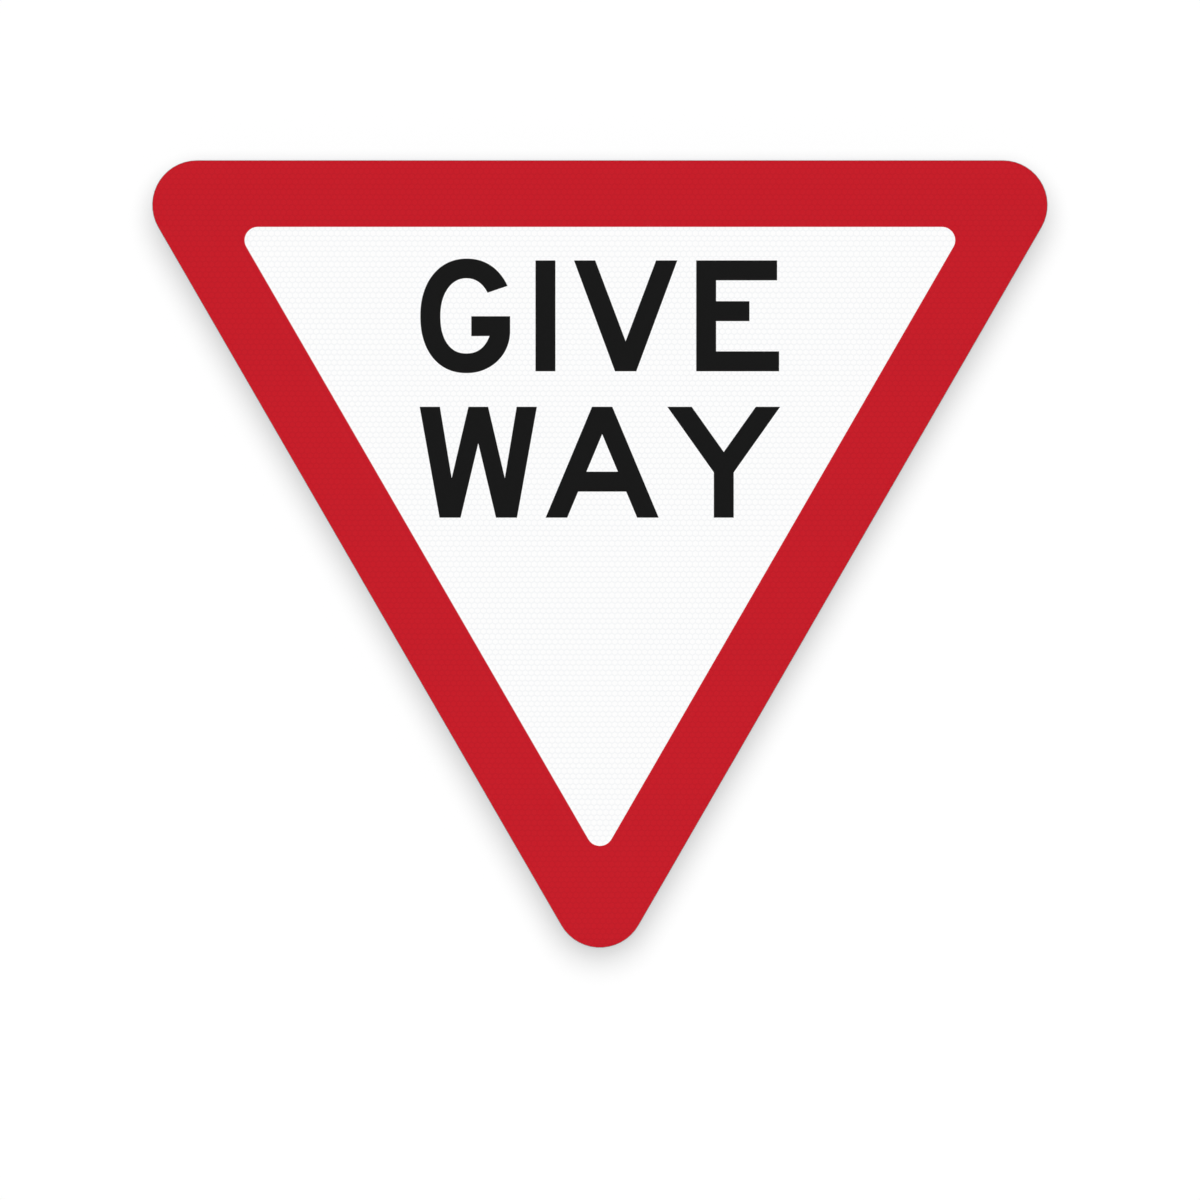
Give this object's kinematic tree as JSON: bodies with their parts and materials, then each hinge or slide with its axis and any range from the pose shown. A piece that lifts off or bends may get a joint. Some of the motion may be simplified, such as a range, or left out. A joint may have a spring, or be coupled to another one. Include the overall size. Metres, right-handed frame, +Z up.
{
  "type": "give way sign",
  "caption": "Flat triangular road sign standing on its point, with a red border on a white field and two lipped fixing rails bonded across its back.",
  "frame": {"origin": "middle of the mouth of the upper rail's slot, in the plane of both rails' outer faces, where the post's clip bears", "axes": "+X to the right of someone who reads the sign, +Z up, and the face looks along -Y with the post on the +Y side"},
  "size_m": [0.9, 0.0146, 0.7914],
  "materials": {
    "plate_aluminium": "mill-finish sheet",
    "rail_aluminium": "mill-finish extrusion",
    "white_sheeting": "glossy retroreflective sheeting",
    "red_film": "glossy transparent film over white sheeting",
    "black_vinyl": "satin cut vinyl",
    "foam_tape": "closed-cell foam"
  },
  "bodies": {
    "root": {"sign_plate": "plate_aluminium", "white_sheeting": "white_sheeting", "red_border": "red_film", "upper_rail": "rail_aluminium", "lower_rail": "rail_aluminium", "upper_rail_tape": "foam_tape", "lower_rail_tape": "foam_tape"}
  },
  "joints": []
}
